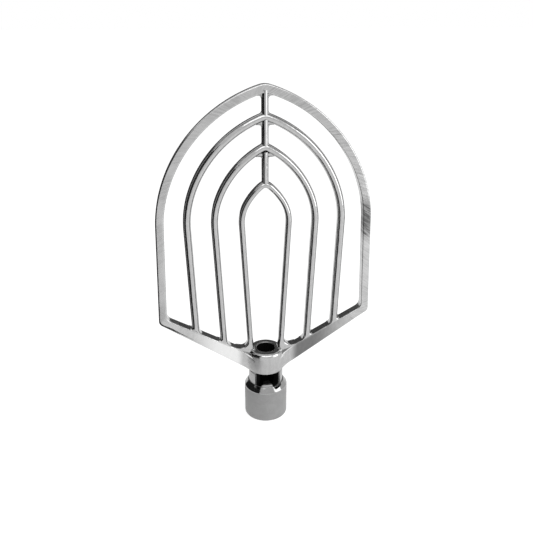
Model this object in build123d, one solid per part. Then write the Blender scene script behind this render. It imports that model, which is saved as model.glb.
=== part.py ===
"""Mortar mixing paddle: a flat, leaf-shaped lattice beater on a bayonet hub.

Millimetres. The paddle stands on its collar with the tip up: +Z is the drive axis, X runs across the
blade and Y through its thickness. The origin is the centre of the collar's bottom face. The blade is
symmetric about the plane x = 0, so each side piece is drawn on the right and mirrored.
"""

import os
from dataclasses import dataclass
from math import asin, atan2, cos, degrees, radians, sin, tan

from build123d import *

# --- blade lattice ----------------------------------------------------------------------------
DATUM_Z = 110.0         # height at which the foot of every bar is dimensioned
SPINE_WIDTH = 6.0
SPINE_DEPTH = 10.0
SPINE_ROUND = 2.2       # rounding of the spine's long edges
CROSS_FILLET = 3.5      # fillet where the spine crosses an arch
STUB_SPARE = 1.2        # straight spine left on a lug past its fillets
CROWN_HALF = 12.0       # half length of the lug that an arch has at the spine
TIP_HALF = 13.0         # half length of the block where the two rails meet
TIP_RADIUS = 14.0       # outside of the tip
INNER_CROWN_RADIUS = 7.0  # underside of the inner arch's crown
RAIL_BEVEL = 8.0        # degrees by which each rail face leans in towards the outer edge

# --- arms of the V ----------------------------------------------------------------------------
ARM_DATUM_X = 60.0      # station at which the arm's two edges are dimensioned
ARM_TOP_Z = 95.5
ARM_BOTTOM_Z = 80.6
ARM_TOP_ANGLE = 29.2
ARM_BOTTOM_ANGLE = 34.3
ARM_DEPTH = 10.0
ARM_BOTTOM_ROUND = 4.0
ARM_ROOT_FILLET = 13.0  # flare of the arm into the hub, seen from above
KNUCKLE_X = 84.0        # where the arm ends and the corner knuckle starts
KNUCKLE_TOP_Z = 128.0
KNUCKLE_RADIUS = 6.0    # outside of the lower corner

# --- hub --------------------------------------------------------------------------------------
BORE_R = 9.0
BUSH_WALL = 1.5
BUSH_CHAMFER = 0.6
BOSS_R = 17.5
BOSS_TOP_Z = 75.0
BOSS_TOP_ROUND = 3.5
NECK_R = 17.1
NECK_TOP_Z = 53.0
SLEEVE_RELIEF = 0.2     # the sleeve's bore is this much wider than the bush
COLLAR_R = 21.6
COLLAR_TOP_Z = 38.6
COLLAR_SHOULDER_Z = 33.6
COLLAR_BOTTOM_ROUND = 1.8
SEAT_Z = 35.6           # bottom of the pin seat
TOOTH_TOP_Z = 40.0
ENTRY_AZIMUTH = -30.0   # degrees round from the front
ENTRY_WIDTH = 9.0
ENTRY_REACH = 14.6      # the keyway's floor, below the seat
SEAT_AZIMUTH = 36.0
SEAT_WIDTH = 8.2
WINDOW_AZIMUTHS = (-46.0, 50.0)

CUT = 60.0              # reach of a cutting tool past the piece it cuts


@dataclass
class Bar:
    """Half of a rail or arch: a leaning leg, a shoulder arc and a crown arc that ends at x = 0."""
    foot_x: float
    lean: float
    shoulder_z: float
    shoulder_r: float
    shoulder_sweep: float
    crown_r: float
    width: float
    depth: float
    foot_z: float

    def x_at(self, z):
        return self.foot_x + self.lean * (z - DATUM_Z)

    def shoulder(self):
        return self.x_at(self.shoulder_z), self.shoulder_z

    def headings(self):
        start = degrees(atan2(1, self.lean))
        return start, start + self.shoulder_sweep

    def crown_centre(self):
        x, z = self.shoulder()
        first, second = (radians(h) for h in self.headings())
        step = self.shoulder_r - self.crown_r
        x += -self.shoulder_r * sin(first) + step * sin(second)
        z += self.shoulder_r * cos(first) - step * cos(second)
        return x, z

    def crown_z(self, offset=0.0):
        """Height at x = 0 of the line that runs this far outside the centre line."""
        x, z = self.crown_centre()
        return z + ((self.crown_r + offset) ** 2 - x ** 2) ** 0.5

    def edge_x(self, z, side):
        """The leg's outer (side +1) or inner (side -1) edge at height z."""
        return self.x_at(z) + side * self.width / 2


RAIL = Bar(99.2, -0.037, 206.5, 120.5, 14.2, 131.4, 7.6, 9.6, KNUCKLE_TOP_Z)
ARCHES = {
    "outer": Bar(68.6, 0.028, 203.4, 89.0, 18.6, 107.8, 7.4, 10.6, 115.0),
    "middle": Bar(42.5, 0.041, 204.2, 65.3, 23.6, 85.9, 6.8, 10.6, 102.0),
    "inner": Bar(16.8, 0.0505, 205.6, 36.2, 33.6, 60.3, 5.8, 10.2, 68.0),
}
# fillets at the foot of each pocket: at its inner and its outer lower corner
POCKET_FILLETS = {"outer": (2.0, 8.0), "middle": (2.0, 5.5), "inner": (8.0, 8.0)}


def mirrored(shape):
    return mirror(shape, about=Plane.YZ)


def block(x, y, z):
    """Box between two limits on each axis."""
    size = [hi - lo for lo, hi in (x, y, z)]
    centre = [(hi + lo) / 2 for lo, hi in (x, y, z)]
    return Pos(*centre) * Box(*size)


def region(points):
    """Flat face in X and Z with straight sides."""
    return make_face(Polyline(*points, close=True))


def centre_line(bar):
    """Path of a half bar, from below its foot to just past the middle plane."""
    foot_z = bar.foot_z - bar.width
    leg = Line((bar.x_at(foot_z), foot_z), bar.shoulder())
    shoulder = JernArc(leg @ 1, leg % 1, bar.shoulder_r, bar.shoulder_sweep)
    crown_end = 180 - degrees(asin(-bar.crown_centre()[0] / bar.crown_r))
    overrun = degrees(bar.width / bar.crown_r)
    crown = JernArc(shoulder @ 1, shoulder % 1, bar.crown_r, crown_end - bar.headings()[1] + overrun)
    return Plane.XZ * Wire([leg, shoulder, crown])


def swept_bar(bar, section, inner_x):
    """Right half bar between its foot and the plane x = inner_x."""
    path = centre_line(bar)
    across = Plane(origin=path @ 0, x_dir=(0, 1, 0), z_dir=path % 0)
    body = sweep(across * section, path=path)
    keep = block((inner_x, 2 * RAIL.foot_x), (-CUT, CUT), (bar.foot_z, RAIL.crown_z() + CUT))
    return body & keep


def arch_section(bar):
    """Flat-sided bar with fully rounded front and back."""
    return SlotOverall(bar.depth, bar.width)


def rail_section():
    """Four-sided bar, thinner at its outer edge, with eased corners."""
    thinning = RAIL.width * tan(radians(RAIL_BEVEL))
    inner, outer = RAIL.depth / 2, RAIL.depth / 2 - thinning
    half = RAIL.width / 2
    shape = make_face(Polyline((-inner, half), (inner, half), (outer, -half), (-outer, -half), close=True))
    return fillet(shape.vertices(), 1.0)


def round_rims(solid, depth, radius, on_cut):
    """Round the front and back outlines, leaving the edges where on_cut says a neighbour is met."""
    rims = [e for e in solid.edges()
            if abs(abs(e.center().Y) - depth / 2) < 0.01 and not on_cut(e)]
    return fillet(rims, radius)


def lies_at(edge, axis, value):
    """Whether an edge lies in the plane where that coordinate has the given size."""
    return all(abs(abs(getattr(v, axis)) - abs(value)) < 0.01 for v in edge.vertices())


def crown_face(bar, half, low_z, high_z):
    """Outline of an arch's middle with stubs of the spine below and above it."""
    centre = bar.crown_centre()
    ring = Pos(*centre) * (Circle(bar.crown_r + bar.width / 2) - Circle(bar.crown_r - bar.width / 2))
    crown_z = bar.crown_z()
    right = ring & Pos(half / 2, crown_z) * Rectangle(half, CUT)
    web = Pos(0, (low_z + high_z) / 2) * Rectangle(SPINE_WIDTH, high_z - low_z)
    return right + mirrored(right) + web


def web_corners(face, low_z, high_z):
    return [v for v in face.vertices()
            if abs(abs(v.X) - SPINE_WIDTH / 2) < 0.01 and low_z + 0.1 < v.Y < high_z - 0.1]


def crown_lug(bar, half, low_z, high_z, peak=None):
    """Crossing of the spine and one arch, with filleted corners. peak is (height, radius) of a bare tip."""
    face = fillet(web_corners(crown_face(bar, half, low_z, high_z), low_z, high_z), CROSS_FILLET)
    if peak:
        tip = [v for v in face.vertices() if abs(v.X) < 0.01 and abs(v.Y - peak[0]) < 0.1]
        face = fillet(tip, peak[1])
    solid = extrude(Plane.XZ * face, amount=bar.depth / 2, both=True)
    return round_rims(solid, bar.depth, SPINE_ROUND,
                      lambda e: lies_at(e, "X", half) or lies_at(e, "Z", low_z) or lies_at(e, "Z", high_z))


def stub(bar, side):
    """End height of the spine stub above (side +1) or below (side -1) a crown, clear of its fillets."""
    slope = asin(-bar.crown_centre()[0] / bar.crown_r)
    fillet_run = CROSS_FILLET / tan((radians(90) + side * slope) / 2)
    drop = max(-side, 0) * SPINE_WIDTH / 2 * tan(slope)
    return bar.crown_z(side * bar.width / 2) + side * (fillet_run + drop + STUB_SPARE)


def spine_piece(low_z, high_z):
    """Straight length of the spine between two lugs."""
    section = RectangleRounded(SPINE_WIDTH, SPINE_DEPTH, SPINE_ROUND)
    return Pos(0, 0, low_z) * extrude(section, amount=high_z - low_z)


def arm_top(x):
    return ARM_TOP_Z + (x - ARM_DATUM_X) * tan(radians(ARM_TOP_ANGLE))


def arm_bottom(x):
    return ARM_BOTTOM_Z + (x - ARM_DATUM_X) * tan(radians(ARM_BOTTOM_ANGLE))


def landing(bar, side):
    """Point where one edge of a bar's leg meets the top of the arm."""
    slope = tan(radians(ARM_TOP_ANGLE))
    z = arm_top(bar.edge_x(0, side)) / (1 - bar.lean * slope)
    return bar.edge_x(z, side), z


def pocket(inner, outer, fillets):
    """Foot of the gap between two neighbouring bars, above the arm."""
    top = KNUCKLE_TOP_Z + CUT
    low_in, low_out = landing(inner, 1), landing(outer, -1)
    face = region([low_in, low_out, (outer.edge_x(top, -1), top), (inner.edge_x(top, 1), top)])
    for corner, radius in zip((low_in, low_out), fillets):
        vertex = face.vertices().sort_by_distance((corner[0], corner[1], 0))[0]
        face = fillet(vertex, radius)
    return face


def side_face():
    """Outline of the right arm and its corner, with the feet of the bars that stand on it."""
    inner = ARCHES["inner"]
    corner_z = RAIL.edge_x(DATUM_Z, 1)
    rim_x = RAIL.edge_x(arm_bottom(corner_z), 1)
    corner = (rim_x, arm_bottom(rim_x))
    top_rail = (RAIL.edge_x(KNUCKLE_TOP_Z, 1), KNUCKLE_TOP_Z)
    face = region([(0, arm_bottom(0)), corner, top_rail, (0, KNUCKLE_TOP_Z)])
    face = fillet(face.vertices().sort_by_distance((*corner, 0))[0], KNUCKLE_RADIUS)
    bars = [inner, ARCHES["middle"], ARCHES["outer"], RAIL]
    for near, far, name in zip(bars, bars[1:], ("inner", "middle", "outer")):
        face -= pocket(near, far, POCKET_FILLETS[name])
    edge = [(inner.edge_x(z, 1), z) for z in (arm_top(inner.foot_x), KNUCKLE_TOP_Z + CUT)]
    face -= region([(-CUT, edge[0][1]), edge[0], edge[1], (-CUT, edge[1][1])])
    for left, right, bar in zip(bars, bars[1:], bars[1:]):
        middle = bar.x_at(DATUM_Z)
        span = (left.x_at(DATUM_Z) + left.width, middle + bar.width)
        face -= region([(span[0], bar.foot_z), (span[1], bar.foot_z),
                        (span[1], KNUCKLE_TOP_Z + CUT), (span[0], KNUCKLE_TOP_Z + CUT)])
    return face


def side_blank():
    """Right arm and knuckle in one, with the round underside and eased pocket edges."""
    solid = extrude(Plane.XZ * side_face(), amount=ARM_DEPTH / 2, both=True)
    underside = [e for e in solid.edges()
                 if abs(abs(e.center().Y) - ARM_DEPTH / 2) < 0.01
                 and e.center().Z < arm_bottom(e.center().X) + 1.5]
    return fillet(underside, ARM_BOTTOM_ROUND)


def arm(side_solid):
    """Right arm: tapered bar from the hub to the knuckle, flared where it meets the boss."""
    reach = ARCHES["middle"].foot_x
    plan = Circle(BOSS_R) + Pos(reach / 2, 0) * Rectangle(reach, ARM_DEPTH)
    roots = [v for v in plan.vertices() if 0 < v.X < BOSS_R]
    flare = extrude(fillet(roots, ARM_ROOT_FILLET), amount=BOSS_TOP_Z + CUT)
    top_x = ARCHES["middle"].edge_x(DATUM_Z, -1)
    wedge = region([(0, arm_bottom(0)), (top_x, arm_bottom(top_x)),
                    (top_x, arm_top(top_x)), (0, arm_top(0))])
    root = flare & extrude(Plane.XZ * wedge, amount=BOSS_R, both=True)
    inboard = block((0, KNUCKLE_X), (-CUT, CUT), (0, 3 * CUT))
    return (side_solid & inboard) + root - Pos(0, 0, CUT) * Cylinder(BOSS_R, 2 * CUT)


def knuckle(side_solid):
    """Right lower corner, between the arm and the rail."""
    return side_solid & block((KNUCKLE_X, 2 * RAIL.foot_x), (-CUT, CUT), (0, 3 * CUT))


def ring_profile(points):
    """Solid of revolution about Z from a closed outline in radius and height."""
    return revolve(Plane.XZ * region(points), Axis.Z)


def hub_boss():
    """Round boss that the arms spring from."""
    body = ring_profile([(0, NECK_TOP_Z), (BOSS_R, NECK_TOP_Z), (BOSS_R, BOSS_TOP_Z), (0, BOSS_TOP_Z)])
    body = fillet(body.edges().sort_by(Axis.Z)[-1], BOSS_TOP_ROUND)
    return body - Cylinder(BORE_R + BUSH_WALL, 2 * BOSS_TOP_Z + CUT)


def shaft_bush():
    """Plain bush in the boss, chamfered at the top."""
    outer = BORE_R + BUSH_WALL
    return ring_profile([(BORE_R, NECK_TOP_Z), (outer, NECK_TOP_Z), (outer, BOSS_TOP_Z),
                         (BORE_R + BUSH_CHAMFER, BOSS_TOP_Z), (BORE_R, BOSS_TOP_Z - BUSH_CHAMFER)])


def radial_slot(azimuth, width, reach, low_z, high_z):
    """Slot from the axis outwards, at an angle round from the front."""
    tool = block((-width / 2, width / 2), (-reach, 0), (low_z, high_z))
    return Rot(0, 0, azimuth) * tool


def bayonet_window():
    """Opening for a cross pin: in at the entry, round over the tooth and down into the seat."""
    first, last = WINDOW_AZIMUTHS
    spokes = [(CUT * sin(radians(a)), -CUT * cos(radians(a))) for a in (first, (first + last) / 2, last)]
    sector = make_face(Polyline((0, 0), *spokes, close=True))
    window = Pos(0, 0, TOOTH_TOP_Z) * extrude(sector, amount=NECK_TOP_Z - TOOTH_TOP_Z)
    window += radial_slot(ENTRY_AZIMUTH, ENTRY_WIDTH, CUT, SEAT_Z, NECK_TOP_Z)
    return window + radial_slot(SEAT_AZIMUTH, SEAT_WIDTH, CUT, SEAT_Z, NECK_TOP_Z)


def both_ends(tool):
    """A tool and its copy half a turn round, one for each end of the cross pin."""
    return tool + Rot(0, 0, 180) * tool


def drive_sleeve():
    """Neck and liner of the socket, with the bayonet windows and the two entry keyways."""
    outline = [(BORE_R + SLEEVE_RELIEF, 0), (NECK_R, 0), (NECK_R, NECK_TOP_Z),
               (BORE_R + SLEEVE_RELIEF, NECK_TOP_Z)]
    keyway = radial_slot(ENTRY_AZIMUTH, ENTRY_WIDTH, ENTRY_REACH, -1, NECK_TOP_Z)
    return ring_profile(outline) - both_ends(bayonet_window() + keyway)


def collar_ring():
    """Thick ring round the sleeve, with a sloping shoulder cut by the pin seats."""
    outline = [(NECK_R, 0), (COLLAR_R, 0), (COLLAR_R, COLLAR_SHOULDER_Z),
               (NECK_R + 0.8, COLLAR_TOP_Z), (NECK_R, COLLAR_TOP_Z)]
    body = ring_profile(outline)
    outer_rims = [e for e in body.edges().filter_by(GeomType.CIRCLE) if abs(e.radius - COLLAR_R) < 0.01]
    body = fillet(outer_rims, COLLAR_BOTTOM_ROUND)
    return body - both_ends(bayonet_window())


def build():
    """Every node of the paddle, by name."""
    nodes = {"collar_ring": collar_ring(), "drive_sleeve": drive_sleeve(),
             "hub_boss": hub_boss(), "shaft_bush": shaft_bush()}
    blank = side_blank()
    sides = {"arm": arm(blank), "corner_knuckle": knuckle(blank),
             "outer_rail": swept_bar(RAIL, rail_section(), TIP_HALF)}
    hub = Pos(0, 0, BOSS_TOP_Z / 2) * Cylinder(BOSS_R, BOSS_TOP_Z)
    for name, bar in ARCHES.items():
        limb = swept_bar(bar, arch_section(bar), CROWN_HALF)
        if name == "inner":
            limb = limb - hub_boss() - sides["arm"] - Cylinder(BORE_R + BUSH_WALL, 2 * BOSS_TOP_Z)
            limb = limb.solids().sort_by(SortBy.VOLUME)[-1]
        sides[f"{name}_arch"] = limb
    for name, shape in sides.items():
        nodes[f"{name}_right"] = shape
        nodes[f"{name}_left"] = mirrored(shape)
    outer, middle, inner = (ARCHES[name] for name in ("outer", "middle", "inner"))
    nodes["crown_lug_outer"] = crown_lug(outer, CROWN_HALF, stub(outer, -1), stub(outer, 1))
    nodes["crown_lug_middle"] = crown_lug(middle, CROWN_HALF, stub(middle, -1), stub(middle, 1))
    peak = (inner.crown_z(-inner.width / 2), INNER_CROWN_RADIUS)
    nodes["crown_lug_inner"] = crown_lug(inner, CROWN_HALF, inner.crown_z(), stub(inner, 1), peak)
    peak = (RAIL.crown_z(RAIL.width / 2), TIP_RADIUS)
    nodes["tip_block"] = crown_lug(RAIL, TIP_HALF, stub(RAIL, -1), RAIL.crown_z(), peak)
    nodes["spine_upper"] = spine_piece(stub(outer, 1), stub(RAIL, -1))
    nodes["spine_middle"] = spine_piece(stub(middle, 1), stub(outer, -1))
    nodes["spine_lower"] = spine_piece(stub(inner, 1), stub(middle, -1))
    return nodes


os.makedirs("parts", exist_ok=True)
for node, shape in build().items():
    export_step(shape, f"parts/{node}.step")
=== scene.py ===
"""Mortar mixing paddle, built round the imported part: the looks of every member of the lattice blade
and of its bayonet hub. Sizes are in millimetres until a mesh is made; the row frame has Z along the
drive axis, X across the blade and Y through its thickness."""

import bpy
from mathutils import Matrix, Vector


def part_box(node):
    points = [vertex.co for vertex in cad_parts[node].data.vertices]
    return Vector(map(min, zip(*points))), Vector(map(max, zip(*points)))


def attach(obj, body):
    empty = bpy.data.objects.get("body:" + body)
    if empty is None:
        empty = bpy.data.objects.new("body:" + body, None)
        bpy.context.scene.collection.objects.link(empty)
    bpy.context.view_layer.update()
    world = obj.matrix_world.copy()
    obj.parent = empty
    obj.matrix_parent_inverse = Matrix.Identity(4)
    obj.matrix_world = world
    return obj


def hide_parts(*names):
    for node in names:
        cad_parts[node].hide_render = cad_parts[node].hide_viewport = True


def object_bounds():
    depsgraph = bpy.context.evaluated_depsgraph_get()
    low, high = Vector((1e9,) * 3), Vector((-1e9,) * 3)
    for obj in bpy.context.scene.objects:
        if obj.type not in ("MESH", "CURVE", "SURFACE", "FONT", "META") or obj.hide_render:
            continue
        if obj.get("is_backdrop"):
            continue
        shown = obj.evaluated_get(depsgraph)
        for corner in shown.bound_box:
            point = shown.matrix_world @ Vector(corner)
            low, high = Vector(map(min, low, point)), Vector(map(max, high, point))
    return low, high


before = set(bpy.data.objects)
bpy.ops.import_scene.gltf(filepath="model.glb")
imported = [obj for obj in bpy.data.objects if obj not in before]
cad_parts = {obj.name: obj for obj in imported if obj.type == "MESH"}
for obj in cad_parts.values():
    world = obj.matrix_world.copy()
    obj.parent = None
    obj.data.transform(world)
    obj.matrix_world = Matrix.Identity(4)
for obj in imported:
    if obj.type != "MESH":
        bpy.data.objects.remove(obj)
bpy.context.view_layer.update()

import math

import bmesh
import bpy
import numpy as np
from mathutils import Vector

# ---------------------------------------------------------------------------------------------
# Drive sleeve: the neck and liner of the socket, a turned steel tube. Two bayonet windows are
# milled through it half a turn apart, each with a tooth and a seat for the cross pin, and a keyway
# runs down from each window to the lower end. The collar ring sits round it.

MM = 0.001


def build_mesh(name, points, faces, uv=None):
    """Mesh from points in millimetres and face arrays, turned so that its volume is positive; uv is
    one pair of distances in millimetres for each point."""
    mesh = bpy.data.meshes.new(name)
    mesh.from_pydata((points * MM).tolist(), [], [list(map(int, f)) for block in faces for f in block])
    if uv is not None:
        layer = mesh.uv_layers.new(name="along")
        index = np.zeros(len(mesh.loops), np.int32)
        mesh.loops.foreach_get("vertex_index", index)
        layer.data.foreach_set("uv", (uv[index] * MM).ravel())
    mesh.calc_loop_triangles()
    tris = np.zeros(len(mesh.loop_triangles) * 3, np.int32)
    mesh.loop_triangles.foreach_get("vertices", tris)
    a, b, c = (points[tris.reshape(-1, 3)[:, i]] for i in range(3))
    if np.einsum("ij,ij->i", a, np.cross(b, c)).sum() < 0:
        mesh.flip_normals()
    obj = bpy.data.objects.new(name, mesh)
    bpy.context.scene.collection.objects.link(obj)
    return obj


def grid_faces(rows, columns, wrap_rows=False):
    """Quads of a grid whose columns close on themselves, and whose rows do too if asked."""
    last = rows if wrap_rows else rows - 1
    i, j = np.meshgrid(np.arange(last), np.arange(columns), indexing="ij")
    i2, j2 = (i + 1) % rows, (j + 1) % columns
    quads = np.stack([i * columns + j, i2 * columns + j, i2 * columns + j2, i * columns + j2], -1)
    return quads.reshape(-1, 4)


def turned(name, profile, segments=192):
    """Ring of revolution: each (radius, height) of a closed profile is carried round Z."""
    profile = np.array(profile, float)
    angle = np.linspace(0, 2 * math.pi, segments, endpoint=False)
    r, z = profile[:, 0][:, None], profile[:, 1][:, None]
    points = np.stack([r * np.sin(angle), -r * np.cos(angle), z + 0 * angle], -1)
    around = np.stack([20 * angle + 0 * z, z + 0 * angle], -1)
    return build_mesh(name, points.reshape(-1, 3), [grid_faces(len(profile), segments, True)],
                      around.reshape(-1, 2))


def rounded_path(corners, radii, steps=8):
    """Closed outline through corners, each replaced by an arc tangent to both of its sides; a corner
    with no radius stays sharp."""
    out = []
    corners = [np.array(c, float) for c in corners]
    for i, corner in enumerate(corners):
        back, ahead = corners[i - 1] - corner, corners[(i + 1) % len(corners)] - corner
        back, ahead = back / np.linalg.norm(back), ahead / np.linalg.norm(ahead)
        out.append(fillet_arc(corner, back, ahead, radii[i], steps) if radii[i] else corner[None])
    return np.concatenate(out)


def fillet_arc(corner, first, second, radius, steps):
    """Arc tangent to two rays from a corner, from the first ray to the second."""
    corner, first, second = (np.array(v, float) for v in (corner, first, second))
    half = math.acos(np.clip(first @ second, -1, 1)) / 2
    middle = (first + second) / np.linalg.norm(first + second)
    centre = corner + middle * radius / math.sin(half)
    tangent = radius / math.tan(half)
    start, end = corner + first * tangent - centre, corner + second * tangent - centre
    sweep = math.atan2(start[0] * end[1] - start[1] * end[0], start @ end)
    t = np.linspace(0, sweep, steps + 1)
    turn = np.stack([np.cos(t) * start[0] - np.sin(t) * start[1],
                     np.sin(t) * start[0] + np.cos(t) * start[1]], -1)
    return centre + turn


def subdivided(path, longest):
    """The same closed path with no step longer than a limit."""
    out = []
    for a, b in zip(path, np.roll(path, -1, 0)):
        n = max(1, int(math.ceil(np.linalg.norm(b - a) / longest)))
        out.append(a + (b - a) * (np.arange(n) / n)[:, None])
    return np.concatenate(out)


def radial_cutter(name, outline, near, far, turn):
    """Prism that points away from Z: an outline in (distance round the neck, height), carried along
    rays from the axis from one flat end to another, which are square to its middle ray."""
    angle = outline[:, 0] / NECK_R
    middle = (angle.min() + angle.max()) / 2
    spread = np.tan(angle - middle)
    turn = turn + middle
    rings = []
    for reach in (near, far):
        side, ahead = reach * spread, np.full(len(spread), reach)
        rings.append(np.stack([side * math.cos(turn) + ahead * math.sin(turn),
                               side * math.sin(turn) - ahead * math.cos(turn), outline[:, 1]], -1))
    count = len(outline)
    caps = [np.arange(count)[None], np.arange(count, 2 * count)[None, ::-1]]
    return build_mesh(name, np.concatenate(rings), [grid_faces(2, count), *caps])


def settle(obj):
    """Apply an object's modifiers and keep only the finished mesh."""
    graph = bpy.context.evaluated_depsgraph_get()
    mesh = bpy.data.meshes.new_from_object(obj.evaluated_get(graph), depsgraph=graph)
    obj.modifiers.clear()
    obj.data = mesh
    return obj


def cut(obj, cutters, ease):
    """Take cutters away from a piece and ease the edges that they leave."""
    for cutter in cutters:
        step = obj.modifiers.new("cut", "BOOLEAN")
        step.operation, step.solver, step.object = "DIFFERENCE", "EXACT", cutter
    settle(obj)
    bevel = obj.modifiers.new("ease", "BEVEL")
    bevel.width, bevel.segments, bevel.limit_method = ease * MM, 3, "ANGLE"
    bevel.angle_limit, bevel.harden_normals = math.radians(35), False
    return settle(obj)


class Sock:
    """A shader socket or number on which Python arithmetic adds Math nodes."""

    def __init__(self, tree, value):
        self.tree, self.value = tree, value

    def node(self, kind, settings=(), out=0, **inputs):
        """Add a node: its settings first, then the value or link of each named or numbered socket."""
        made = self.tree.nodes.new(kind)
        for key, setting in dict(settings).items():
            setattr(made, key, setting)
        for key, given in inputs.items():
            place = made.inputs[int(key[1:])] if key[0] == "_" else made.inputs[key.replace("_", " ")]
            if isinstance(given, Sock):
                given = given.value
            if isinstance(given, bpy.types.NodeSocket):
                self.tree.links.new(given, place)
            else:
                place.default_value = given
        return Sock(self.tree, made.outputs[out])

    def maths(self, operation, *others):
        inputs = {f"_{i}": v for i, v in enumerate((self,) + others)}
        return self.node("ShaderNodeMath", {"operation": operation}, **inputs)

    def __add__(self, other):
        return self.maths("ADD", other)

    __radd__ = __add__

    def __sub__(self, other):
        return self.maths("SUBTRACT", other)

    def __rsub__(self, other):
        return (self * -1) + other

    def __mul__(self, other):
        return self.maths("MULTIPLY", other)

    __rmul__ = __mul__

    def step(self, low, high):
        """0 below low, 1 above high, smooth between."""
        return self.node("ShaderNodeMapRange", {"interpolation_type": "SMOOTHSTEP"},
                         Value=self, From_Min=low, From_Max=high)

    def noise(self, scale, detail=3.0, rough=0.5, stretch=(1, 1, 1), turn=(0, 0, 0)):
        """Noise of this vector, in millimetres; stretch multiplies each axis after the turn."""
        placed = self.node("ShaderNodeMapping", {"vector_type": "POINT"}, Vector=self,
                           Rotation=turn, Scale=(1000, 1000, 1000))
        placed = placed.node("ShaderNodeMapping", {"vector_type": "POINT"}, Vector=placed,
                             Scale=stretch)
        return placed.node("ShaderNodeTexNoise", {}, Vector=placed, Scale=scale, Detail=detail,
                           Roughness=rough)

    def mix(self, first, second):
        """Colour that goes from first to second as this goes from 0 to 1."""
        return self.node("ShaderNodeMix", {"data_type": "RGBA"}, out=2, _0=self, _6=first,
                         _7=second)

    def length(self, keep=(1, 1, 1)):
        """Length of this vector in millimetres, with each axis kept or dropped."""
        kept = self.node("ShaderNodeVectorMath", {"operation": "MULTIPLY"}, _0=self,
                         _1=tuple(k / MM for k in keep))
        return kept.node("ShaderNodeVectorMath", {"operation": "LENGTH"}, out=1, _0=kept)


def grey(level):
    """Neutral colour."""
    return (level, level, level, 1.0)


def metal(name):
    """New fully metallic material, its shader node and the object's own coordinates."""
    material = bpy.data.materials.new(name)
    material.use_nodes = True
    tree = material.node_tree
    shader = tree.nodes["Principled BSDF"]
    shader.inputs["Metallic"].default_value = 1.0
    place = tree.nodes.new("ShaderNodeTexCoord")
    return material, shader, Sock(tree, place.outputs["Object"])


def bumped(shader, height, distance):
    """Send a height in millimetres to the shader's normal."""
    bump = height.node("ShaderNodeBump", {}, Height=height, Distance=distance * MM, Strength=1.0)
    height.tree.links.new(bump.value, shader.inputs["Normal"])


def feed(shader, socket, source):
    """Link a value to one of the shader's sockets."""
    source.tree.links.new(source.value, shader.inputs[socket])


ABOVE_ALL = 1000.0
AROUND = (0.02, 0.02, 1.0)
# Near-black base colour painted inside the bore as shade.
BORE_PAINTED_SHADE = 0.012
POLISHED_ROUGH = 0.10
POLISH_FADE = 0.8


def turned_metal(name, level, rough, ring_depth, inside=0.0, fade=2.0, bright_above=ABOVE_ALL,
                 body_metal=1.0):
    """Lathe-turned metal: fine rings that follow the height, with stains and rubbed patches. Inside a
    radius, towards the bore, its colour is painted shade, near black, and it is rougher. Above a
    height it is polished; below that it can be less than fully metallic, as a dull skin is."""
    material, shader, place = metal(name)
    rings = place.noise(2.6, 2.0, 0.6, stretch=AROUND)
    fine = place.noise(9.0, 2.0, 0.6, stretch=AROUND)
    stain = place.noise(0.09, 5.0, 0.62)
    speck = place.noise(1.6, 3.0, 0.6)
    # Inside the given radius the colour fades to near black: painted shade down the bore.
    clear_of_bore_shade = place.length((1, 1, 0)).step(inside, inside + fade)
    polished = place.length((0, 0, 1)).step(bright_above, bright_above + POLISH_FADE)
    tone = stain.step(0.35, 0.68) * 0.5 + fine.step(0.3, 0.7) * 0.2 + speck.step(0.4, 0.75) * 0.3
    steel = tone.mix(grey(level * 0.84), grey(level * 1.10))
    feed(shader, "Base Color", clear_of_bore_shade.mix(grey(BORE_PAINTED_SHADE), steel.value))
    dull = stain.step(0.3, 0.7) * 0.10 + rings * 0.08 + (rough - 0.09)
    if body_metal < 1:
        feed(shader, "Metallic", polished * (1 - body_metal) + body_metal)
    shine = dull * (1 - polished) + polished * POLISHED_ROUGH
    feed(shader, "Roughness", shine + (1 - clear_of_bore_shade) * 0.5)
    bumped(shader, rings * 0.6 + fine * 0.3 + speck * 0.2, ring_depth)
    return material


def place_piece(obj, material, slot, *nodes, smooth=32):
    """Smooth the piece, give it its metal, and let it stand for its nodes of the part."""
    obj.data.shade_smooth()
    obj.data.set_sharp_from_angle(angle=math.radians(smooth))
    obj.data.materials.clear()
    obj.data.materials.append(material)
    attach(obj, "root")
    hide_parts(*nodes)
    return obj


def limits(node):
    """Lowest and highest corner of a node of the part, in millimetres."""
    low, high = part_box(node)
    return np.array(low) / MM, np.array(high) / MM


sleeve_high = limits("drive_sleeve")[1]
NECK_R, NECK_TOP = sleeve_high[0], sleeve_high[2]
BUSH_R = limits("shaft_bush")[1][0]
BUSH_WALL = 1.5
BORE_R = BUSH_R - BUSH_WALL
LINER_R = BORE_R + 0.2
NECK_GROOVE = 0.35

# The bayonet window: bearings in degrees round the neck and heights of its entry, tooth and seat.
SEAT_Z = 35.6
TOOTH_Z = 40.8
ENTRY_FLOOR_Z = 37.0
ENTRY = (-47.0, -29.0)
TOOTH_TOP = (-17.0, 13.5)
SEAT = (21.5, 49.5)
WINDOW_ROUNDS = (3.0, 0.8, 2.0, 1.6, 1.4, 1.8, 1.0, 1.2)
TOOL_NEAR, TOOL_FAR, KEYWAY_REACH = 6.0, 60.0, 14.6
KEYWAY_LOW = -5.0


def round_the_neck(degrees):
    """Distance round the outside of the neck at a bearing."""
    return math.radians(degrees) * NECK_R


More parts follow.
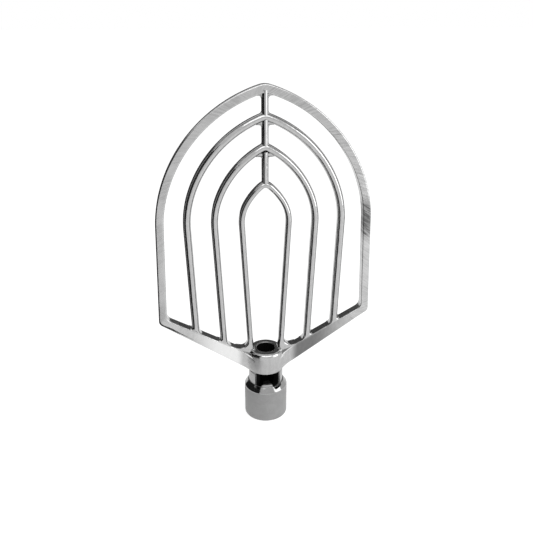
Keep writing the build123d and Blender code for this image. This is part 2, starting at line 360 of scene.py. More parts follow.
def bayonet_cutters():
    """Two windows half a turn apart, and the keyway below each, as tools that cut outwards."""
    window = [(ENTRY[0], NECK_TOP), (SEAT[1] + 1, NECK_TOP + 0.5), (SEAT[1], SEAT_Z + 1.5),
              (SEAT[0], SEAT_Z), (TOOTH_TOP[1], TOOTH_Z), (TOOTH_TOP[0], TOOTH_Z - 0.2),
              (ENTRY[1], ENTRY_FLOOR_Z), (ENTRY[0], ENTRY_FLOOR_Z)]
    path = rounded_path([(round_the_neck(a), z) for a, z in window], WINDOW_ROUNDS)
    path = subdivided(path, 1.2)
    left, right = (round_the_neck(a) for a in ENTRY)
    keyway_top = SEAT_Z + 3
    slot = [(left, KEYWAY_LOW), (right, KEYWAY_LOW), (right, keyway_top), (left, keyway_top)]
    slot = subdivided(np.array(slot), 1.5)
    tools = []
    for turn in (0, math.pi):
        tools.append(radial_cutter("window_tool", path, TOOL_NEAR, TOOL_FAR, turn))
        tools.append(radial_cutter("keyway_tool", slot, TOOL_NEAR, KEYWAY_REACH, turn))
    return tools


def discard(tools):
    """Remove cutters that are no longer needed."""
    for tool in tools:
        bpy.data.meshes.remove(tool.data)


sleeve_profile = [(LINER_R, 0.6), (LINER_R + 0.6, 0), (NECK_R, 0), (NECK_R, 20),
                  (NECK_R, NECK_TOP - 1.6), (NECK_R - NECK_GROOVE, NECK_TOP - 1.1),
                  (NECK_R - NECK_GROOVE, NECK_TOP - 0.4), (NECK_R, NECK_TOP), (LINER_R, NECK_TOP),
                  (LINER_R, 25)]
tools = bayonet_cutters()
sleeve = cut(turned("drive_sleeve_visual", sleeve_profile), tools, 0.45)
# Inside 14.4 mm from the axis, the liner's colour is painted shade.
SOCKET_STEEL = turned_metal("socket_steel", 0.40, 0.34, 0.02, inside=14.4)
place_piece(sleeve, SOCKET_STEEL, "turned_collar", "drive_sleeve")

# ---------------------------------------------------------------------------------------------
# Collar ring: a thick steel ring round the sleeve, faced and turned on a lathe. Its shoulder slopes
# up to the neck, and the two pin seats and entries bite a little way into that shoulder.

collar_high = limits("collar_ring")[1]
COLLAR_R, COLLAR_TOP = collar_high[0], collar_high[2]
SHOULDER_Z = 33.6
SHOULDER_LIP = 0.9

collar_corners = [(NECK_R, 0), (COLLAR_R, 0), (COLLAR_R, SHOULDER_Z),
                  (NECK_R + SHOULDER_LIP, COLLAR_TOP), (NECK_R, COLLAR_TOP)]
collar_profile = subdivided(rounded_path(collar_corners, (0, 1.8, 2.2, 0.5, 0)), 9.0)
collar = cut(turned("collar_ring_visual", collar_profile, 224), tools[::2], 0.4)
discard(tools)
COLLAR_STEEL = turned_metal("collar_steel", 0.33, 0.52, 0.03, bright_above=SHOULDER_Z - 1.4,
                            body_metal=0.75)
place_piece(collar, COLLAR_STEEL, "turned_collar", "collar_ring")

# ---------------------------------------------------------------------------------------------
# Hub boss: the round middle of the blade casting, with a dull blasted skin on its sides that fades
# into a burnished, rounded upper rim. Its metal is also the arms', the arches' and the spine's.

boss_low, boss_high = limits("hub_boss")
BOSS_R, BOSS_TOP, BOSS_BOTTOM = boss_high[0], boss_high[2], boss_low[2]
boss_corners = [(BUSH_R, BOSS_BOTTOM), (BOSS_R, BOSS_BOTTOM), (BOSS_R, BOSS_TOP),
                (BUSH_R, BOSS_TOP)]
boss_profile = rounded_path(boss_corners, (0, 0.9, 3.6, 0.3), 10)
boss = turned("hub_boss_visual", subdivided(boss_profile, 6.0), 224)

# Where the skin and the painted highlight and painted shade of the arms lie, as fades: distance
# from the axis, height, height above a line that rises with the arms, and distance across.
BLASTED_OUT, BLASTED_UP = (17.9, 22.0), (68.0, 75.0)
ARM_RISE, ABOVE_ARM = 0.559, (60.0, 63.0)
# Ranges across the blade of the painted highlight on the left arm and the painted shade on the right
# arm.
LEFT_ARM_HIGHLIGHT_FROM, LEFT_ARM_HIGHLIGHT_TO = (-80, -44), (-30, -22)
RIGHT_ARM_SHADE_FROM, RIGHT_ARM_SHADE_TO = (24, 32), (44, 90)


def cast_metal(name, level, rough, polish):
    """Burnished casting: soft waviness and pits under a tumbled polish, duller in the pits. Round
    the boss the blasted skin is left. Next to it the left arm gets a painted highlight and the right
    arm painted shade, both in the base colour."""
    material, shader, place = metal(name)
    wave = place.noise(0.07, 1.0, 0.4)
    dimple = place.noise(0.35, 1.0, 0.4)
    skin = place.noise(0.9, 4.0, 0.6)
    pits = place.noise(2.4, 3.0, 0.55).step(0.60, 0.74)
    rub = place.noise(0.35, 4.0, 0.6, stretch=(1.0, 1.0, 0.4))
    near_boss = 1 - place.length((1, 1, 0)).step(*BLASTED_OUT)
    blasted = near_boss * (1 - place.length((0, 0, 1)).step(*BLASTED_UP))
    tone = skin.step(0.3, 0.75) * 0.5 + rub.step(0.35, 0.7) * 0.5
    colour = tone.mix(grey(level * 0.86), grey(level * 1.08))
    across = place.node("ShaderNodeSeparateXYZ", _0=place) * 1000
    height = place.node("ShaderNodeSeparateXYZ", out=2, _0=place) * 1000
    # Painted highlight on the left arm and painted shade on the right arm, mixed into the base colour.
    on_arm = 1 - (height - across.maths("ABSOLUTE") * ARM_RISE).step(*ABOVE_ARM)
    left_arm_painted_highlight = on_arm * across.step(*LEFT_ARM_HIGHLIGHT_FROM) * (1 - across.step(*LEFT_ARM_HIGHLIGHT_TO))
    right_arm_painted_shade = on_arm * across.step(*RIGHT_ARM_SHADE_FROM) * (1 - across.step(*RIGHT_ARM_SHADE_TO))
    colour = (left_arm_painted_highlight * 0.62).mix(colour.value, grey(level * 2.0))
    colour = (right_arm_painted_shade * 0.72).mix(colour.value, grey(level * 0.12))
    feed(shader, "Base Color", (pits * 0.22).mix(colour.value, grey(level * 0.45)))
    dull = rough + skin * (polish * 0.5) + pits * 0.05 + rub * (polish * 0.4)
    feed(shader, "Roughness", dull + blasted * 0.32)
    bumped(shader, wave * 2.4 + dimple * 0.30 - pits * 0.02, 0.26)
    return material


BURNISHED = cast_metal("burnished_casting", 0.44, 0.05, 0.09)
place_piece(boss, BURNISHED, "cast_blade", "hub_boss")

# ---------------------------------------------------------------------------------------------
# Shaft bush: a thin steel sleeve in the boss, chamfered at its mouth. It is the lighter ring that
# shows round the bore.

MOUTH = 0.7
bush_profile = subdivided(np.array([(BORE_R, NECK_TOP), (BUSH_R, NECK_TOP), (BUSH_R, BOSS_TOP),
                                    (BORE_R + MOUTH, BOSS_TOP), (BORE_R, BOSS_TOP - MOUTH)]), 4.0)
bush = turned("shaft_bush_visual", bush_profile, 160)
# Down the bore, the bush's colour is painted shade.
BUSH_STEEL = turned_metal("bush_steel", 0.30, 0.30, 0.03, inside=BORE_R + 0.05, fade=0.6)
place_piece(bush, BUSH_STEEL, "bush_steel", "shaft_bush")

# ---------------------------------------------------------------------------------------------
# Arms of the V: two tapered bars of the casting that climb from the hub to the lower corners, with
# a full round underside, a crisper upper edge and a flare into the boss. Both are made on the right
# and mirrored for the left.

CORNER_STEPS = 8
FLAT_SUPPORT = (0.05, 0.5, 0.95)


def section_loop(inner, outer, half_in, half_out, round_in, round_out):
    """Points of a bar carried along two outlines, and how far across it each one is. The section
    runs from the inner to the outer outline and out to a half thickness on both sides, with an
    elliptic arc at each corner. A rounding is (reach across the bar, reach through it), and the
    flats between have points at the shares in FLAT_SUPPORT."""
    stations = len(inner)
    width = np.linalg.norm(outer - inner, axis=1)
    direction = (outer - inner) / width[:, None]
    wide = lambda v: np.broadcast_to(np.asarray(v, float), stations)
    half_in, half_out = wide(half_in), wide(half_out)
    across_in, deep_in, across_out, deep_out = (wide(v) for v in (*round_in, *round_out))
    phi = np.linspace(0, math.pi / 2, CORNER_STEPS + 1)
    thickness = lambda a: half_in[:, None] + (half_out - half_in)[:, None] * a / width[:, None]
    a_in = across_in[:, None] * (1 - np.cos(phi))
    a_out = width[:, None] - across_out[:, None] * (1 - np.cos(phi))
    y_in = thickness(a_in) - deep_in[:, None] * (1 - np.sin(phi))
    y_out = thickness(a_out) - deep_out[:, None] * (1 - np.sin(phi))
    share = np.array(FLAT_SUPPORT)
    a_flat = a_in[:, -1:] + (a_out[:, -1:] - a_in[:, -1:]) * share
    y_flat = thickness(a_flat)
    y_wall_in = -y_in[:, :1] + 2 * y_in[:, :1] * share
    y_wall_out = -y_out[:, :1] + 2 * y_out[:, :1] * share
    zero = np.zeros_like(a_flat)
    a = np.concatenate([a_in, a_flat, a_out[:, ::-1], zero + width[:, None], a_out, a_flat[:, ::-1],
                        a_in[:, ::-1], zero], 1)
    y = np.concatenate([-y_in, -y_flat, -y_out[:, ::-1], y_wall_out, y_out, y_flat[:, ::-1],
                        y_in[:, ::-1], y_wall_in[:, ::-1]], 1)
    x = inner[:, :1] + direction[:, :1] * a
    z = inner[:, 1:] + direction[:, 1:] * a
    return np.stack([x, y, z], -1), a


def bar(name, inner, outer, half_in, half_out, round_in, round_out):
    """Closed bar between two outlines, with flat ends and a map of distance along and across."""
    loops, across = section_loop(inner, outer, half_in, half_out, round_in, round_out)
    rows, columns = loops.shape[:2]
    middle = (inner + outer) / 2
    run = np.concatenate([[0], np.cumsum(np.linalg.norm(np.diff(middle, axis=0), axis=1))])
    uv = np.stack([np.broadcast_to(run[:, None], across.shape), across], -1).reshape(-1, 2)
    caps = [np.arange(columns)[None], np.arange((rows - 1) * columns, rows * columns)[None, ::-1]]
    return build_mesh(name, loops.reshape(-1, 3), [grid_faces(rows, columns), *caps], uv)


def pair(name, make, material, slot):
    """The right piece and its mirror image on the left, each standing for its own node."""
    for side, sign in (("right", 1), ("left", -1)):
        obj = make(f"{name}_{side}_visual")
        if sign < 0:
            points = np.zeros(len(obj.data.vertices) * 3)
            obj.data.vertices.foreach_get("co", points)
            points = points.reshape(-1, 3) * (-1, 1, 1)
            obj.data.vertices.foreach_set("co", points.ravel())
            obj.data.flip_normals()
            obj.data.update()
        place_piece(obj, material, slot, f"{name}_{side}")


ARM_DATUM_X = 60.0
ARM_TOP_Z, ARM_TOP_SLOPE = 95.5, math.tan(math.radians(29.2))
ARM_BOTTOM_Z, ARM_BOTTOM_SLOPE = 80.6, math.tan(math.radians(34.3))
ARM_HALF = 5.0
TOP_FLARE, UNDER_FLARE = 32.0, 15.0
ARM_END_X, ARM_FLARE_X, ARM_ROOT_X = 84.0, 34.0, 12.4
TOP_ROUND, UNDER_ROUND = (1.5, 1.5), (4.2, 4.6)


def arm_top(x):
    """Height of the arm's upper edge."""
    return ARM_TOP_Z + (x - ARM_DATUM_X) * ARM_TOP_SLOPE


def arm_bottom(x):
    """Height of the arm's underside."""
    return ARM_BOTTOM_Z + (x - ARM_DATUM_X) * ARM_BOTTOM_SLOPE


def flare(x, radius):
    """Half thickness of an arm: level, then a hollow arc tangent to the boss, then the boss."""
    start = math.sqrt((BOSS_R + radius) ** 2 - (ARM_HALF + radius) ** 2)
    inside = np.clip(start - x, 0, 0.98 * radius)
    hollow = ARM_HALF + radius - np.sqrt(radius ** 2 - inside ** 2)
    boss = np.sqrt(np.maximum(BOSS_R ** 2 - x ** 2, 0))
    touch = start * BOSS_R / (BOSS_R + radius)
    return np.where(x < touch, boss - 0.05, hollow)


def make_arm(name):
    """Arm from the corner in to the boss. Where it flares, its edges are rounded more."""
    x = np.concatenate([np.linspace(ARM_END_X, ARM_FLARE_X, 34),
                        np.linspace(ARM_FLARE_X - 0.6, ARM_ROOT_X, 46)])
    top, under = np.stack([x, arm_top(x)], -1), np.stack([x, arm_bottom(x)], -1)
    half_top, half_under = flare(x, TOP_FLARE), flare(x, UNDER_FLARE)
    swell = half_top - ARM_HALF
    return bar(name, top, under, half_top, half_under,
               (TOP_ROUND[0] + 0.35 * swell, TOP_ROUND[1] + 0.30 * swell),
               (UNDER_ROUND[0] + 0.4 * swell, UNDER_ROUND[1] + 0.7 * swell))


pair("arm", make_arm, BURNISHED, "cast_blade")

# ---------------------------------------------------------------------------------------------
# Outer rails: the long bars of the outline, ground flat on both faces and leaning in towards the
# thinner outer edge. A leaning leg runs into a shoulder arc and then a crown arc.

DATUM_Z = 110.0


class Line:
    """Centre line of half a rail or arch: a leaning leg, a shoulder arc and a crown arc to x = 0."""

    def __init__(self, foot_x, lean, shoulder_z, shoulder_r, sweep, crown_r, width, half):
        self.foot_x, self.lean = foot_x, lean
        self.shoulder_z, self.shoulder_r = shoulder_z, shoulder_r
        self.crown_r, self.width, self.half = crown_r, width, half
        self.first = math.atan2(1, lean)
        self.second = self.first + math.radians(sweep)
        self.bend = np.array([self.x_at(shoulder_z) - shoulder_r * math.sin(self.first),
                              shoulder_z + shoulder_r * math.cos(self.first)])
        step = shoulder_r - crown_r
        self.centre = self.bend + step * np.array([math.sin(self.second), -math.cos(self.second)])

    def x_at(self, z):
        return self.foot_x + self.lean * (z - DATUM_Z)

    def edge_x(self, z, side):
        return self.x_at(z) + side * self.width / 2

    def outward(self, heading):
        return np.stack([np.sin(heading), -np.cos(heading)], -1)

    def leg(self, low, high, gap=4.0):
        """Points and outward directions up the straight leg."""
        z = np.linspace(low, high, max(2, int((high - low) / gap)))
        return np.stack([self.x_at(z), z], -1), self.outward(np.full(len(z), self.first))

    def arc(self, end_x, gap=1.3):
        """Points and outward directions round both arcs, to where the crown arc reaches end_x."""
        stop = math.pi - math.asin((end_x - self.centre[0]) / self.crown_r)
        parts = []
        for centre, r, a, b in ((self.bend, self.shoulder_r, self.first, self.second),
                                (self.centre, self.crown_r, self.second, stop)):
            h = np.linspace(a, b, int(abs(b - a) * r / gap))[1:]
            parts.append((centre + r * self.outward(h), self.outward(h)))
        return np.concatenate([p[0] for p in parts]), np.concatenate([p[1] for p in parts])

    def crown(self, half, blend, gap=0.8):
        """Points and outward directions across the middle, where the two crown arcs are joined by a
        parabola that is tangent to both."""
        x = np.linspace(half, -half, int(2 * half / gap) + 1)
        run = np.maximum(np.abs(x), blend) - self.centre[0]
        z = self.centre[1] + np.sqrt(self.crown_r ** 2 - run ** 2)
        slope = -run / np.sqrt(self.crown_r ** 2 - run ** 2)
        near = np.abs(x) < blend
        z = np.where(near, z + slope * (x ** 2 - blend ** 2) / (2 * blend), z)
        slope = np.where(near, slope * x / blend, slope * np.sign(x))
        normal = np.stack([-slope, np.ones_like(slope)], -1)
        return np.stack([x, z], -1), normal / np.linalg.norm(normal, axis=1)[:, None]


RAIL = Line(99.2, -0.037, 206.5, 120.5, 14.2, 131.4, 7.6, 4.8)
RAIL_THINNING = RAIL.width * math.tan(math.radians(8.0))
RAIL_HALVES = (RAIL.half, RAIL.half - RAIL_THINNING)
RAIL_ROUND = (1.2, 1.3)
TIP_HALF = 13.0
RAIL_FOOT_Z = 128.0


def make_rail(name):
    leg, leg_out = RAIL.leg(RAIL_FOOT_Z, RAIL.shoulder_z, 2.0)
    arc, arc_out = RAIL.arc(TIP_HALF)
    points, out = np.concatenate([leg, arc]), np.concatenate([leg_out, arc_out])
    half = RAIL.width / 2
    return bar(name, points - out * half, points + out * half, *RAIL_HALVES, RAIL_ROUND,
               RAIL_ROUND)


BELT_SLANT, CROSS_SLANT = 52, -24
# Painted shade on the rails: the middle, shape and fade of a dark patch, and the fade in x to the
# darker right side.
DARK_PATCH_CENTRE = (0.097, 0.0, 0.207)
DARK_PATCH_SHAPE, DARK_PATCH_FADE = (0.5, 0, 1), (8.0, 26.0)
RIGHT_SHADE_FADE = (-0.03, 0.05)


def ground_metal(name, level, rough):
    """Linished metal: belt scratches that cross the bar at a slant, in patches of different bite,
    with painted shade towards the right, and darker painted shade, also rougher, round a point in
    metres."""
    material, shader, place = metal(name)
    along = Sock(material.node_tree, material.node_tree.nodes.new("ShaderNodeUVMap").outputs["UV"])
    along.value.node.uv_map = "along"
    slant = (0, 0, math.radians(BELT_SLANT))
    belt = along.noise(0.42, 3.0, 0.6, stretch=(0.14, 1.5, 1.0), turn=slant)
    fine = along.noise(1.1, 2.0, 0.6, stretch=(0.08, 1.5, 1.0), turn=slant)
    cross = along.noise(0.5, 2.0, 0.6, stretch=(0.14, 1.4, 1.0),
                        turn=(0, 0, math.radians(CROSS_SLANT)))
    patch = place.noise(0.030, 3.0, 0.55)
    # Painted shade: a patch round a point in metres, darker in colour and rougher.
    from_dark_patch = place.node("ShaderNodeVectorMath", {"operation": "SUBTRACT"}, _0=place,
                           _1=DARK_PATCH_CENTRE)
    painted_dark_patch = 1 - from_dark_patch.length(DARK_PATCH_SHAPE).step(*DARK_PATCH_FADE)
    bite = patch.step(0.40, 0.60)
    streak = belt.step(0.38, 0.60) * 0.6 + fine.step(0.35, 0.65) * 0.4
    dark = streak * -1 + 1
    # Painted shade towards the right: the rail colour is darker there.
    right_painted_shade = place.node("ShaderNodeSeparateXYZ", _0=place).step(*RIGHT_SHADE_FADE)
    # Mix of real scratch and bite darkening with the painted shade on the right and in the patch.
    scratches_and_painted_shade = dark * (bite * 0.24 + 0.10 + right_painted_shade * 0.14 + painted_dark_patch * 0.35) + painted_dark_patch * 0.50
    feed(shader, "Base Color", scratches_and_painted_shade.mix(grey(level), grey(level * 0.18)))
    feed(shader, "Roughness", belt * 0.10 + bite * 0.05 + painted_dark_patch * 0.1 + (rough - 0.05))
    bumped(shader, belt * 0.20 + cross * bite * 0.20, 0.10)
    return material


GROUND = ground_metal("linished_rail", 0.50, 0.20)
pair("outer_rail", make_rail, GROUND, "ground_rail")

# ---------------------------------------------------------------------------------------------
# Corner knuckles: the lower corners, where each arm turns up into its rail, linished with it. The
# inside is a soft fillet, the outside is round, and the flat of the rail fades into the arm.

KNUCKLE_ROUND = 6.0
KNUCKLE_FILLET = 8.0
UP_ARM = np.array([1, ARM_TOP_SLOPE]) / math.hypot(1, ARM_TOP_SLOPE)
UP_UNDER = np.array([1, ARM_BOTTOM_SLOPE]) / math.hypot(1, ARM_BOTTOM_SLOPE)


def landing(line, side, slope=ARM_TOP_SLOPE, level=None):
    """Where one edge of a leg meets a sloping line, z = level + slope x; by default the arm's top."""
    base = arm_top(0.0) if level is None else level
    edge = line.edge_x(0.0, side)
    z = (base + slope * edge) / (1 - slope * line.lean)
    return np.array([line.edge_x(z, side), z])


def leg_up(line):
    """Direction up a leg."""
    return np.array([line.lean, 1]) / math.hypot(1, line.lean)


def stretch(a, b, count):
    """Evenly spaced points from a to b, without a itself."""
    return a + (b - a) * np.linspace(0, 1, count + 1)[1:, None]


def turn_outline(start, corner, up, away, radius, end_x, counts):
    """Outline that comes down a leg, rounds a corner and runs along the arm to end_x."""
    arc = fillet_arc(corner, up, -away, radius, counts[1])
    end = corner + away * (end_x - corner[0]) / away[0]
    return np.concatenate([start[None], stretch(start, arc[0], counts[0]), arc[1:],
                           stretch(arc[-1], end, counts[2])])


def make_knuckle(name):
    """Corner whose thickness and rounding go over smoothly from the rail's to the arm's."""
    counts = (6, 14, 10)
    inner_corner = landing(RAIL, -1)
    outer_corner = landing(RAIL, 1, ARM_BOTTOM_SLOPE, arm_bottom(0.0))
    start_in, start_out = (np.array([RAIL.edge_x(RAIL_FOOT_Z, side), RAIL_FOOT_Z])
                           for side in (-1, 1))
    inner = turn_outline(start_in, inner_corner, leg_up(RAIL), UP_ARM, KNUCKLE_FILLET, ARM_END_X,
                         counts)
    outer = turn_outline(start_out, outer_corner, leg_up(RAIL), UP_UNDER, KNUCKLE_ROUND, ARM_END_X,
                         counts)
    t = np.linspace(0, 1, len(inner))
    t = t * t * (3 - 2 * t)
    fade = lambda a, b: a + (b - a) * t
    return bar(name, inner, outer, *(fade(half, ARM_HALF) for half in RAIL_HALVES),
               [fade(a, b) for a, b in zip(RAIL_ROUND, TOP_ROUND)],
               [fade(a, b) for a, b in zip(RAIL_ROUND, UNDER_ROUND)])


pair("corner_knuckle", make_knuckle, GROUND, "ground_rail")

# ---------------------------------------------------------------------------------------------
# Arches: three round-faced bars inside the outline, left as cast and burnished. Each foot spreads
# into the top of the arm with a fillet on either side; the inner pair lands on the hub.

ARCHES = {"outer": Line(68.6, 0.028, 203.4, 89.0, 18.6, 107.8, 7.4, 5.3),
          "middle": Line(42.5, 0.041, 204.2, 65.3, 23.6, 85.9, 6.8, 5.3),
          "inner": Line(16.8, 0.0505, 205.6, 36.2, 33.6, 60.3, 5.8, 5.1)}
# Radii of the fillets at each foot: on the side of the axis, and on the outer side.
FOOT_FILLETS = {"outer": (5.5, 2.0), "middle": (8.0, 2.0), "inner": (2.0, 8.0)}
LUG_HALF = 12.0
FOOT_STEPS = 14
FOOT_ROUND = 1.6
BURIED = 2.5
FOOT_SUNK = 0.25


def round_face(line):
    """Rounding of an arch's faces: almost half its width each side, and deeper than wide."""
    return (0.49 * line.width, 0.66 * line.width)


def make_arch(line, name):
    """Maker of one side of an arch. Its foot is a little thinner than the arm it sinks into."""
    low_in, low_out = FOOT_FILLETS[name]
    up = leg_up(line)
    corner_out = landing(line, 1)
    corner_in, away_in, sink = landing(line, -1), -UP_ARM, np.array([0.3, -1.0]) * BURIED
    if name == "inner":
        corner_in, away_in = np.array([line.edge_x(BOSS_TOP, -1), BOSS_TOP]), np.array([-1.0, 0.0])
        sink = np.array([-0.02, -1.0]) * 2 * BURIED
    foot_in = fillet_arc(corner_in, away_in, up, low_in, FOOT_STEPS)
    foot_out = fillet_arc(corner_out, UP_ARM, up, low_out, FOOT_STEPS)
    foot_in = np.concatenate([foot_in[:1] + sink, foot_in])
    foot_out = np.concatenate([foot_out[:1] + sink, foot_out])
    leg_z = max(foot_in[-1][1], foot_out[-1][1]) + 3.0
    leg, leg_out = line.leg(leg_z, line.shoulder_z)
    arc, arc_out = line.arc(LUG_HALF)
    points, out = np.concatenate([leg, arc]), np.concatenate([leg_out, arc_out])
    inner = np.concatenate([foot_in, points - out * line.width / 2])
    outer = np.concatenate([foot_out, points + out * line.width / 2])
    t = np.clip(np.arange(len(inner)) / (FOOT_STEPS + 1), 0, 1)
    face = round_face(line)
    across = np.minimum(FOOT_ROUND + (face[0] - FOOT_ROUND) * t,
                        0.48 * np.linalg.norm(outer - inner, axis=1))
    deep = FOOT_ROUND + (face[1] - FOOT_ROUND) * t
    half = ARM_HALF - FOOT_SUNK + (line.half - ARM_HALF + FOOT_SUNK) * t
    return lambda label: bar(label, inner, outer, half, half, (across, deep), (across, deep))


for arch_name, arch in ARCHES.items():
    pair(f"{arch_name}_arch", make_arch(arch, arch_name), BURNISHED, "cast_blade")

# ---------------------------------------------------------------------------------------------
# Crown lugs and tip: the middle of each arch and of the outline, where the spine crosses. The bar
# carries on through the middle, and the spine's own fillets spread on to it.

CROWN_BLEND = {"outer": 3.0, "middle": 3.5, "inner": 4.5}
TIP_BLEND = 4.0


def across_middle(node, line, half_length, blend, halves, face, material, slot):
    """The bar across the middle of an arch or of the outline, standing for one node."""
    points, out = line.crown(half_length, blend)
    reach = line.width / 2
    obj = bar(f"{node}_visual", points - out * reach, points + out * reach, *halves, face, face)
    place_piece(obj, material, slot, node)


for arch_name, arch in ARCHES.items():
    across_middle(f"crown_lug_{arch_name}", arch, LUG_HALF, CROWN_BLEND[arch_name],
                  (arch.half, arch.half), round_face(arch), BURNISHED, "cast_blade")
across_middle("tip_block", RAIL, TIP_HALF, TIP_BLEND, RAIL_HALVES, RAIL_ROUND, GROUND, "ground_rail")

# ---------------------------------------------------------------------------------------------
# Spine: the upright bar that ties the crowns together, in three lengths. Each is a round bar with a
# thinner web inside it, which spreads into the corners above and below with a fillet.

SPINE_WIDTH = 6.0
SPINE_HALF = 5.0
SPINE_ROUND = (2.9, 4.4)
SLOPE_RUN = 4.0
CROSS_FILLET = 3.6
FILLET_STEPS = 10
WEB_HALF = 2.4
WEB_INSET = 0.8
WEB_ROUND = (1.4, 2.2)
CROWN_RISE = 1.4


def crown_edge(line, blend, side):
    """Height and slope of one edge of a crown where the spine's side meets it."""
    points, out = line.crown(LUG_HALF, blend)
    edge = points + side * out * line.width / 2
    x, z = edge[::-1, 0], edge[::-1, 1]
    here, there = (np.interp(SPINE_WIDTH / 2 + run, x, z) for run in (0, SLOPE_RUN))
    return here, (there - here) / SLOPE_RUN


def spine_flare(line, blend, side):
    """Right outline of the spine where it swells into a crown, from the crown to the plain bar."""
    z, slope = crown_edge(line, blend, side)
    away = np.array([1, slope]) / math.hypot(1, slope)
    arc = fillet_arc(np.array([SPINE_WIDTH / 2, z]), away, np.array([0.0, side]), CROSS_FILLET,
                     FILLET_STEPS)
    buried = arc[:1] - [[1.2, side * line.width * 0.42]]
    return np.concatenate([buried, arc])


def joined(obj, other):
    """Add the second object's mesh to the first as one piece."""
    both = bmesh.new()
    for part in (obj, other):
        both.from_mesh(part.data)
    both.to_mesh(obj.data)
    both.free()
    bpy.data.meshes.remove(other.data)
    return obj


def make_spine(node, lower, lower_blend, upper, upper_blend):
    """Round-faced bar from crown to crown, with a thinner web that spreads into the corners."""
    below = spine_flare(lower, lower_blend, 1)
    above = spine_flare(upper, upper_blend, -1)[::-1]
    low, high = below[0][1], above[-1][1] + CROWN_RISE
    side = np.stack([np.full(12, SPINE_WIDTH / 2), np.linspace(low, high, 12)], -1)
    obj = bar(f"{node}_visual", side * (-1, 1), side, SPINE_HALF, SPINE_HALF, SPINE_ROUND,
              SPINE_ROUND)
    right = np.concatenate([below, stretch(below[-1], above[0], 6)[:-1], above])
    right[:, 0] -= WEB_INSET * (right[:, 0] < SPINE_WIDTH / 2 + 0.05)
    face = (np.minimum(WEB_ROUND[0], 0.46 * 2 * right[:, 0]), WEB_ROUND[1])
    web = bar("web", right * (-1, 1), right, WEB_HALF, WEB_HALF, face, face)
    place_piece(joined(obj, web), BURNISHED, "cast_blade", node)


CROWNS = {name: (ARCHES[name], CROWN_BLEND[name]) for name in ARCHES}
make_spine("spine_upper", *CROWNS["outer"], RAIL, TIP_BLEND)
make_spine("spine_middle", *CROWNS["middle"], *CROWNS["outer"])
make_spine("spine_lower", *CROWNS["inner"], *CROWNS["middle"])

# ---------------------------------------------------------------------------------------------
# Floor: plain white. Its glow reaches the camera and every mirror or glass ray alike, so the metal
# shows the same floor, and its matte part keeps the paddle's soft shadow.

FLOOR_HALF = 30.0
FLOOR_GLOW, FLOOR_MATTE = 0.74, 0.50


def background_rays(tree):
    """1 for camera, glossy and transmission rays, which all see the white background; else 0."""
    rays = tree.nodes.new("ShaderNodeLightPath")
    camera_ray, glossy, through = (Sock(tree, rays.outputs[f"Is {kind} Ray"])
                                   for kind in ("Camera", "Glossy", "Transmission"))
    return (camera_ray + glossy + through).maths("MINIMUM", 1.0)


floor_mesh = bpy.data.meshes.new("floor")
floor_corners = [(x * FLOOR_HALF, y * FLOOR_HALF, 0) for x, y in ((-1, -1), (1, -1), (1, 1), (-1, 1))]
floor_mesh.from_pydata(floor_corners, [], [(0, 1, 2, 3)])
floor = bpy.data.objects.new("floor", floor_mesh)
bpy.context.scene.collection.objects.link(floor)
floor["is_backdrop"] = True
white = bpy.data.materials.new("white_floor")
white.use_nodes = True
tree = white.node_tree
tree.nodes.clear()
matte = tree.nodes.new("ShaderNodeBsdfDiffuse")
matte.inputs["Color"].default_value = grey(FLOOR_MATTE)
glow = tree.nodes.new("ShaderNodeEmission")
glow.inputs["Color"].default_value = grey(FLOOR_GLOW)
tree.links.new(background_rays(tree).value, glow.inputs["Strength"])
both = tree.nodes.new("ShaderNodeAddShader")
out = tree.nodes.new("ShaderNodeOutputMaterial")
tree.links.new(matte.outputs[0], both.inputs[0])
tree.links.new(glow.outputs[0], both.inputs[1])
tree.links.new(both.outputs[0], out.inputs[0])
floor.data.materials.append(white)

# ---------------------------------------------------------------------------------------------
# Studio: a white room with two soft boxes, at the right front and overhead. Dark cards on the left
# and behind give the polished bars their dark sides. Where a card stands, the metal mirrors the card
# and not the white room behind it.

AMBIENT = 0.65
CARD_STEPS = 40
PAPER_ROUGH = 0.9
world = bpy.data.worlds.new("studio")
bpy.context.scene.world = world
world.use_nodes = True
tree = world.node_tree
tree.nodes.clear()
back = tree.nodes.new("ShaderNodeBackground")
back.inputs["Color"].default_value = (1, 1, 1, 1)
level = background_rays(tree) * (1 - AMBIENT) + AMBIENT
tree.links.new(level.value, back.inputs["Strength"])
out = tree.nodes.new("ShaderNodeOutputWorld")
tree.links.new(back.outputs[0], out.inputs[0])


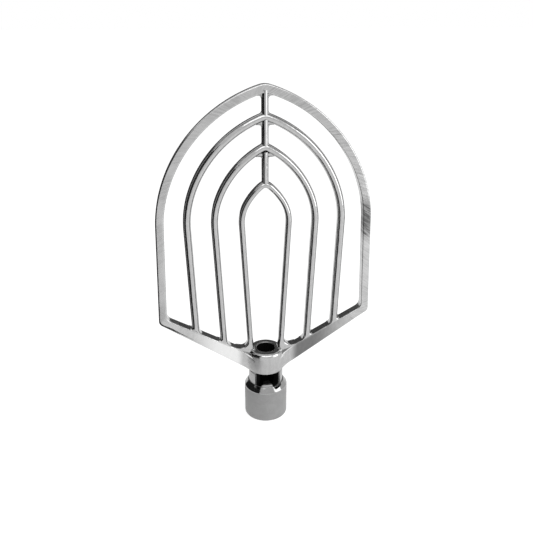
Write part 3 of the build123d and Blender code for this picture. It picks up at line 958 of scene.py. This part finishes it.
def card(name, start, end, profile, tone):
    """Curved card round the paddle between two bearings (0 is the front, + to the right), with a
    profile in (distance from the axis, height). It is hidden from camera, diffuse and shadow rays."""
    profile = np.array(profile, float)
    columns = len(profile)
    angle = np.radians(np.linspace(start, end, CARD_STEPS))[:, None]
    points = np.stack([profile[:, 0] * np.sin(angle), -profile[:, 0] * np.cos(angle),
                       profile[:, 1] + 0 * angle], -1).reshape(-1, 3)
    corner = (np.arange(CARD_STEPS - 1)[:, None] * columns + np.arange(columns - 1)).reshape(-1)
    faces = np.stack([corner, corner + columns, corner + columns + 1, corner + 1], -1)
    mesh = bpy.data.meshes.new(name)
    mesh.from_pydata((points * MM).tolist(), [], faces.tolist())
    paper = bpy.data.materials.new(name)
    paper.use_nodes = True
    shader = paper.node_tree.nodes["Principled BSDF"]
    shader.inputs["Base Color"].default_value = grey(tone)
    shader.inputs["Roughness"].default_value = PAPER_ROUGH
    mesh.materials.append(paper)
    obj = bpy.data.objects.new(name, mesh)
    bpy.context.scene.collection.objects.link(obj)
    obj.visible_camera = obj.visible_diffuse = obj.visible_shadow = False
    obj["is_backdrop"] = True


card("left_card", -138, -40, ((125, 1), (330, 1), (330, 460)), 0.02)
card("back_card", 140, 222, ((420, 130), (420, 620)), 0.12)


def lamp(name, bearing, rise, reach, size, radiance):
    """Soft box at a bearing and a rise in degrees, facing the paddle; radiance 1 is paper white."""
    data = bpy.data.lights.new(name, "AREA")
    data.shape, data.size, data.size_y = "RECTANGLE", *size
    data.energy = math.pi * size[0] * size[1] * radiance
    obj = bpy.data.objects.new(name, data)
    a, e = math.radians(bearing), math.radians(rise)
    away = Vector((math.sin(a) * math.cos(e), -math.cos(a) * math.cos(e), math.sin(e)))
    obj.location = middle + away * reach
    obj.rotation_euler = away.to_track_quat("Z", "Y").to_euler()
    bpy.context.scene.collection.objects.link(obj)


low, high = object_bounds()
middle = (Vector(low) + Vector(high)) / 2
lamp("right_box", 60, 16, 1.0, (0.62, 0.85), 2.5)
lamp("top_box", 4, 52, 1.1, (1.0, 0.55), 1.9)

# ---------------------------------------------------------------------------------------------
# Camera: a little to the left and above, looking at the middle of the blade.

AZIMUTH, ELEVATION, ROLL = -8.42, 22.99, -0.14
DISTANCE = 0.547
AIM = Vector((0.0011, 0.0, 0.1627))
LENS, SENSOR = 39.03, 36.0

camera_data = bpy.data.cameras.new("camera")
camera_data.lens, camera_data.sensor_width = LENS, SENSOR
camera_data.clip_start, camera_data.clip_end = 0.01, 200
camera = bpy.data.objects.new("camera", camera_data)
azimuth, elevation = math.radians(AZIMUTH), math.radians(ELEVATION)
offset = Vector((math.sin(azimuth) * math.cos(elevation), -math.cos(azimuth) * math.cos(elevation),
                 math.sin(elevation)))
camera.location = AIM + offset * DISTANCE
turn = (AIM - camera.location).to_track_quat("-Z", "Y").to_matrix().to_4x4()
camera.rotation_euler = turn.to_euler()
camera.rotation_euler.rotate_axis("Z", math.radians(ROLL))
bpy.context.scene.collection.objects.link(camera)
bpy.context.scene.camera = camera
bpy.context.scene.view_settings.view_transform = "Standard"
